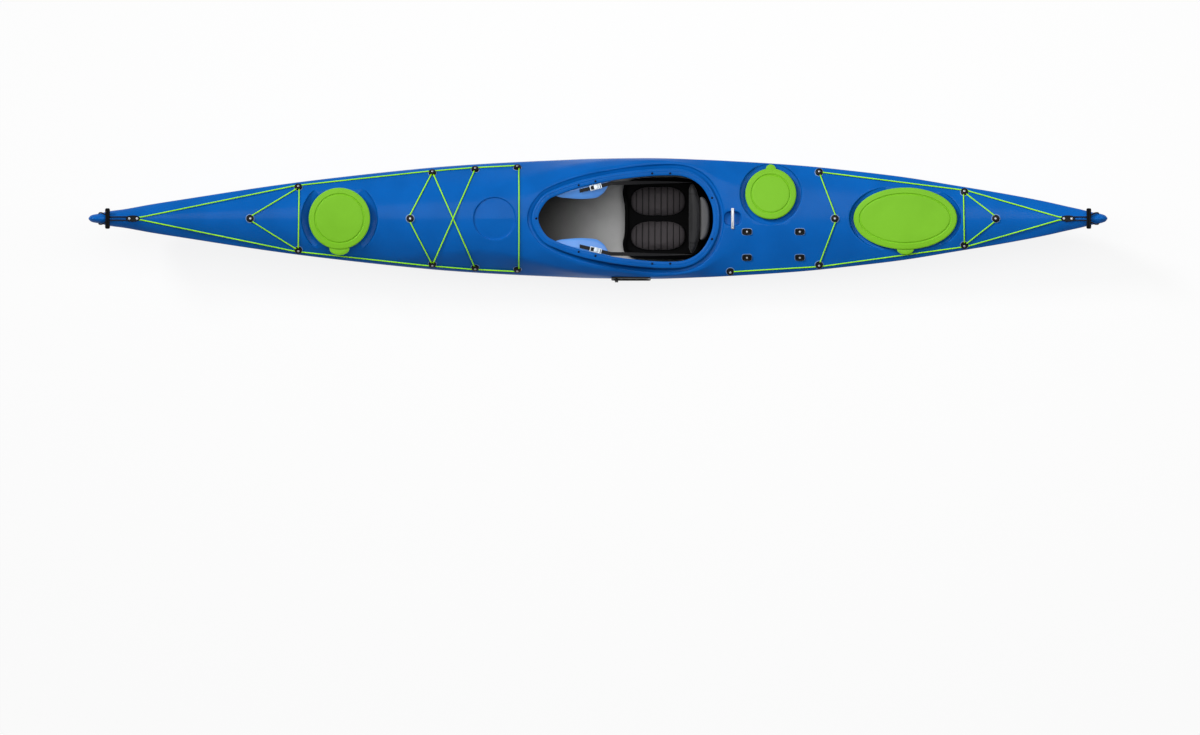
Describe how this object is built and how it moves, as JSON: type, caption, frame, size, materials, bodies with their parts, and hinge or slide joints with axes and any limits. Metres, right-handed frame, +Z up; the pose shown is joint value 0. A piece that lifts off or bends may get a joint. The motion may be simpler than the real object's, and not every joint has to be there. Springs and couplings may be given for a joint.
{
  "type": "sea kayak",
  "caption": "Decked touring kayak with cockpit coaming, sealed hatches, padded seat, adjustable foot rests, deck lines, carry toggles and a drop-down skeg worked by a deck slider.",
  "frame": {"origin": "on the flat of the keel at mid length, where the boat rests", "axes": "+X from bow to stern, +Y to starboard, +Z up"},
  "size_m": [4.9, 0.5994, 0.4924],
  "materials": {
    "shell_blue": "glossy thermoformed sheet, deep blue",
    "lid_green": "satin rubber, lime green",
    "line_green": "braided cord, lime green",
    "black_plastic": "moulded, satin black",
    "black_rubber": "matt black rubber with a black cord",
    "seat_black": "moulded, satin black",
    "seat_fabric": "woven cover over foam, charcoal",
    "bulkhead_grey": "moulded, matt grey",
    "stainless": "polished stainless steel"
  },
  "bodies": {
    "boat": {"hull": "shell_blue", "deck": "shell_blue", "cockpit_coaming": "shell_blue", "front_bulkhead": "bulkhead_grey", "day_bulkhead": "bulkhead_grey", "rear_bulkhead": "bulkhead_grey", "front_hatch_rim": "black_plastic", "day_hatch_rim": "black_plastic", "rear_hatch_rim": "black_plastic", "seat_pan": "seat_black", "seat_pad_starboard": "seat_fabric", "seat_pad_port": "seat_fabric", "back_band": "seat_fabric", "back_pad": "seat_fabric", "thigh_brace_starboard": "shell_blue", "thigh_brace_port": "shell_blue", "footrest_rail_starboard": "black_plastic", "footrest_rail_port": "black_plastic", "skeg_case": "bulkhead_grey", "skeg_slider_track": "black_plastic", "skeg_cable": "black_plastic", "bow_end_fitting": "black_plastic", "stern_end_fitting": "black_plastic", "security_bar": "stainless", "deck_clip_1": "black_plastic", "deck_clip_2": "black_plastic", "deck_clip_3": "black_plastic", "deck_clip_4": "black_plastic", "fitting_bow_centre": "black_plastic", "fitting_bow_port": "black_plastic", "fitting_bow_starboard": "black_plastic", "fitting_fore_centre": "black_plastic", "fitting_fore_port": "black_plastic", "fitting_fore_starboard": "black_plastic", "fitting_mid_port": "black_plastic", "fitting_mid_starboard": "black_plastic", "fitting_cockpit_port": "black_plastic", "fitting_cockpit_starboard": "black_plastic", "fitting_slider_port": "black_plastic", "fitting_day_port": "black_plastic", "fitting_day_starboard": "black_plastic", "fitting_day_centre": "black_plastic", "fitting_stern_port": "black_plastic", "fitting_stern_starboard": "black_plastic", "fitting_stern_centre": "black_plastic", "bow_deck_line": "line_green", "bow_bungee": "line_green", "fore_bungee": "line_green", "stern_deck_line": "line_green", "day_bungee": "line_green", "stern_bungee": "line_green"},
    "front_lid": {"front_hatch_lid": "lid_green"},
    "day_lid": {"day_hatch_lid": "lid_green"},
    "rear_lid": {"rear_hatch_lid": "lid_green"},
    "skeg_blade": {"skeg_blade": "black_plastic"},
    "skeg_slider_knob": {"skeg_slider_knob": "black_plastic"},
    "pedal_starboard": {"footrest_pedal_starboard": "black_plastic"},
    "pedal_port": {"footrest_pedal_port": "black_plastic"},
    "bow_toggle": {"bow_toggle": "black_rubber"},
    "stern_toggle": {"stern_toggle": "black_rubber"}
  },
  "joints": [
    {"name": "front_lid_lift", "type": "slide", "parent": "boat", "child": "front_lid", "axis": [0, 0, 1], "range_m": [0, 0.12]},
    {"name": "day_lid_lift", "type": "slide", "parent": "boat", "child": "day_lid", "axis": [0, 0.1219, 0.9925], "range_m": [0, 0.12]},
    {"name": "rear_lid_lift", "type": "slide", "parent": "boat", "child": "rear_lid", "axis": [-0.0932, 0, 0.9956], "range_m": [0, 0.12]},
    {"name": "skeg_drop", "type": "hinge", "parent": "boat", "child": "skeg_blade", "pos_m": [1.68474, 0, 0.08929], "axis": [0, 1, 0], "range_deg": [0, 60]},
    {"name": "skeg_slide", "type": "slide", "parent": "boat", "child": "skeg_slider_knob", "axis": [1, 0, 0], "range_m": [0, 0.139]},
    {"name": "starboard_pedal_slide", "type": "slide", "parent": "boat", "child": "pedal_starboard", "axis": [0.9964, 0.085, 0], "range_m": [-0.14, 0.14]},
    {"name": "port_pedal_slide", "type": "slide", "parent": "boat", "child": "pedal_port", "axis": [0.9964, -0.085, 0], "range_m": [-0.14, 0.14]},
    {"name": "bow_toggle_swing", "type": "hinge", "parent": "boat", "child": "bow_toggle", "pos_m": [-2.401, 0, 0.44431], "axis": [0, -1, 0], "range_deg": [0, 95]},
    {"name": "stern_toggle_swing", "type": "hinge", "parent": "boat", "child": "stern_toggle", "pos_m": [2.40835, 0, 0.38291], "axis": [0, 1, 0], "range_deg": [0, 95]}
  ],
  "couplings": [
    {"joint": "skeg_slide", "follows": "skeg_drop", "m_per_rad": 0.13273}
  ]
}
